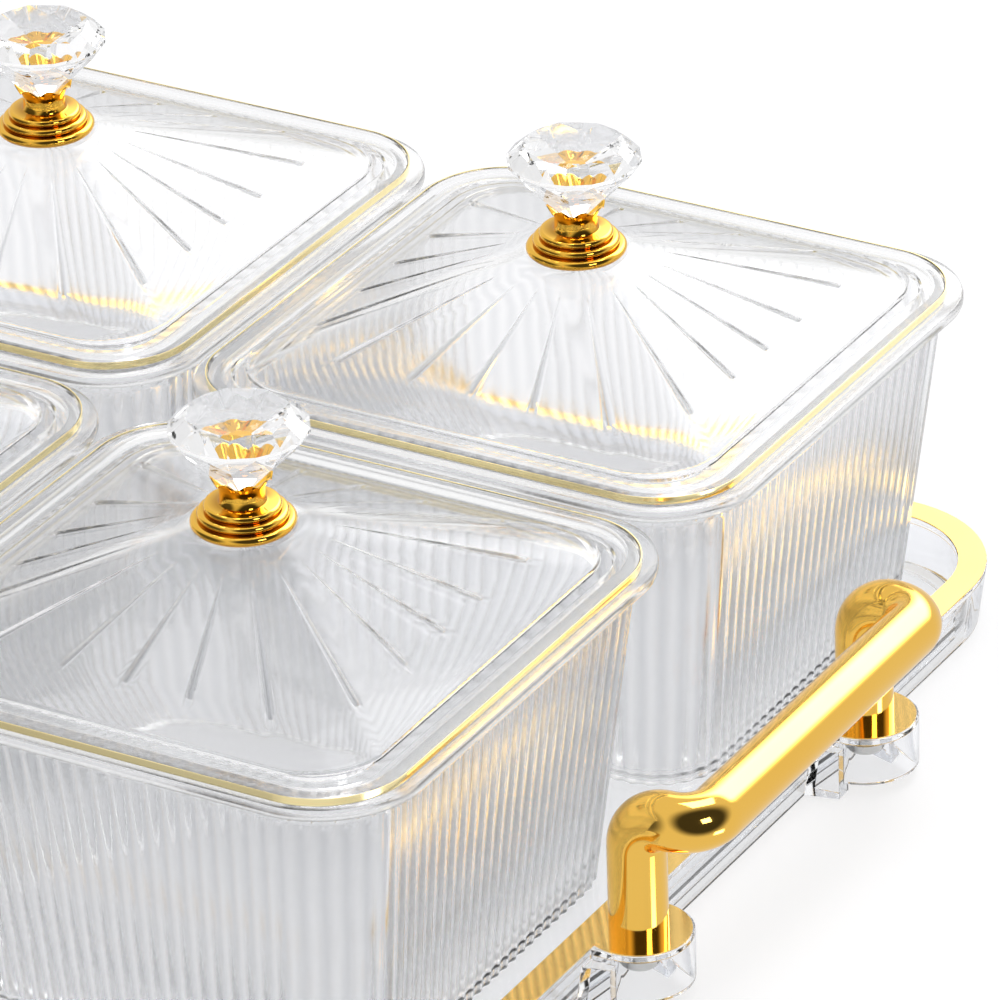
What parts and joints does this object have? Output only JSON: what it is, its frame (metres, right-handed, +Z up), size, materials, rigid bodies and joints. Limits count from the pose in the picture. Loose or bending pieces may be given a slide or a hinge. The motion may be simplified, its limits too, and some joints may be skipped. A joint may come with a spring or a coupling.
{
  "type": "divided snack tray",
  "caption": "Square clear tray with gilt bar handles, holding square fluted boxes in a grid, each with a domed lift-off lid and a crystal knob.",
  "frame": {"origin": "centre of the tray on the table, the bottom centre of the overall box", "axes": "+Z up, X across the two handles with +X at the handle seen in the picture, +Y to the back"},
  "size_m": [0.3612, 0.298, 0.1306],
  "materials": {
    "clear_acrylic": "clear, moulded, polished",
    "gold_foil": "bright gold hot foil",
    "gold_plate": "bright gold plating",
    "crystal": "clear, faceted, polished",
    "screw_steel": "plain steel"
  },
  "bodies": {
    "tray_body": {"tray": "clear_acrylic", "tray_band": "gold_foil", "handle_right": "gold_plate", "handle_left": "gold_plate", "handle_insert_right_back": "screw_steel", "handle_insert_right_front": "screw_steel", "handle_insert_left_back": "screw_steel", "handle_insert_left_front": "screw_steel", "handle_screw_right_back": "screw_steel", "handle_screw_right_front": "screw_steel", "handle_screw_left_back": "screw_steel", "handle_screw_left_front": "screw_steel"},
    "box_body_right_back": {"box_right_back": "clear_acrylic"},
    "lid_body_right_back": {"lid_right_back": "clear_acrylic", "lid_line_right_back": "gold_foil", "knob_base_right_back": "gold_plate", "knob_crystal_right_back": "crystal", "knob_screw_right_back": "screw_steel"},
    "box_body_right_front": {"box_right_front": "clear_acrylic"},
    "lid_body_right_front": {"lid_right_front": "clear_acrylic", "lid_line_right_front": "gold_foil", "knob_base_right_front": "gold_plate", "knob_crystal_right_front": "crystal", "knob_screw_right_front": "screw_steel"},
    "box_body_left_back": {"box_left_back": "clear_acrylic"},
    "lid_body_left_back": {"lid_left_back": "clear_acrylic", "lid_line_left_back": "gold_foil", "knob_base_left_back": "gold_plate", "knob_crystal_left_back": "crystal", "knob_screw_left_back": "screw_steel"},
    "box_body_left_front": {"box_left_front": "clear_acrylic"},
    "lid_body_left_front": {"lid_left_front": "clear_acrylic", "lid_line_left_front": "gold_foil", "knob_base_left_front": "gold_plate", "knob_crystal_left_front": "crystal", "knob_screw_left_front": "screw_steel"}
  },
  "joints": [
    {"name": "box_lift_right_back", "type": "slide", "parent": "tray_body", "child": "box_body_right_back", "axis": [0, 0, 1], "range_m": [0, 0.12]},
    {"name": "lid_lift_right_back", "type": "slide", "parent": "box_body_right_back", "child": "lid_body_right_back", "axis": [0, 0, 1], "range_m": [0, 0.1]},
    {"name": "box_lift_right_front", "type": "slide", "parent": "tray_body", "child": "box_body_right_front", "axis": [0, 0, 1], "range_m": [0, 0.12]},
    {"name": "lid_lift_right_front", "type": "slide", "parent": "box_body_right_front", "child": "lid_body_right_front", "axis": [0, 0, 1], "range_m": [0, 0.1]},
    {"name": "box_lift_left_back", "type": "slide", "parent": "tray_body", "child": "box_body_left_back", "axis": [0, 0, 1], "range_m": [0, 0.12]},
    {"name": "lid_lift_left_back", "type": "slide", "parent": "box_body_left_back", "child": "lid_body_left_back", "axis": [0, 0, 1], "range_m": [0, 0.1]},
    {"name": "box_lift_left_front", "type": "slide", "parent": "tray_body", "child": "box_body_left_front", "axis": [0, 0, 1], "range_m": [0, 0.12]},
    {"name": "lid_lift_left_front", "type": "slide", "parent": "box_body_left_front", "child": "lid_body_left_front", "axis": [0, 0, 1], "range_m": [0, 0.1]}
  ]
}
